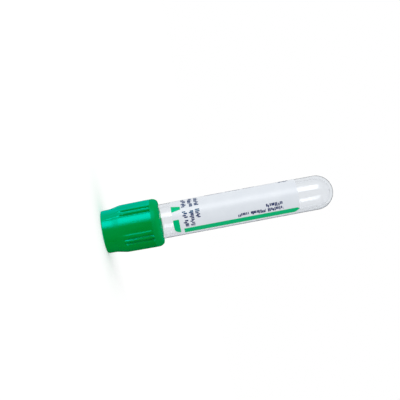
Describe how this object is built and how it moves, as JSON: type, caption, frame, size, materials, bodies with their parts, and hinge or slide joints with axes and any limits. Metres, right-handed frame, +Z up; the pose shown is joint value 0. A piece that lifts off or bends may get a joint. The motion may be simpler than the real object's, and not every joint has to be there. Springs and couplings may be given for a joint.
{
  "type": "blood collection tube",
  "caption": "Clear round-bottomed blood collection tube stood on its closure: a ribbed green pull-off safety closure over a rubber stopper, and a white wrap label.",
  "frame": {"origin": "on the tube's axis, at the flat needle end of the closure that it stands on", "axes": "+Z up the tube from the closure's needle end to the round bottom, -Y the side that the middle of the label faces"},
  "size_m": [0.0178, 0.0178, 0.0853],
  "materials": {
    "clear_plastic": "clear polished moulding",
    "stopper_rubber": "matte dark green",
    "shield_plastic": "satin green moulding",
    "label_paper": "smooth white paper",
    "green_ink": "printed green",
    "dark_ink": "printed navy"
  },
  "bodies": {
    "closure": {"shield": "shield_plastic", "stopper": "stopper_rubber"},
    "tube_body": {"tube": "clear_plastic", "label": "label_paper", "label_green_print": "green_ink", "label_dark_print": "dark_ink"}
  },
  "joints": [
    {"name": "closure_pull", "type": "slide", "parent": "closure", "child": "tube_body", "axis": [0, 0, 1], "range_m": [0, 0.03]}
  ]
}
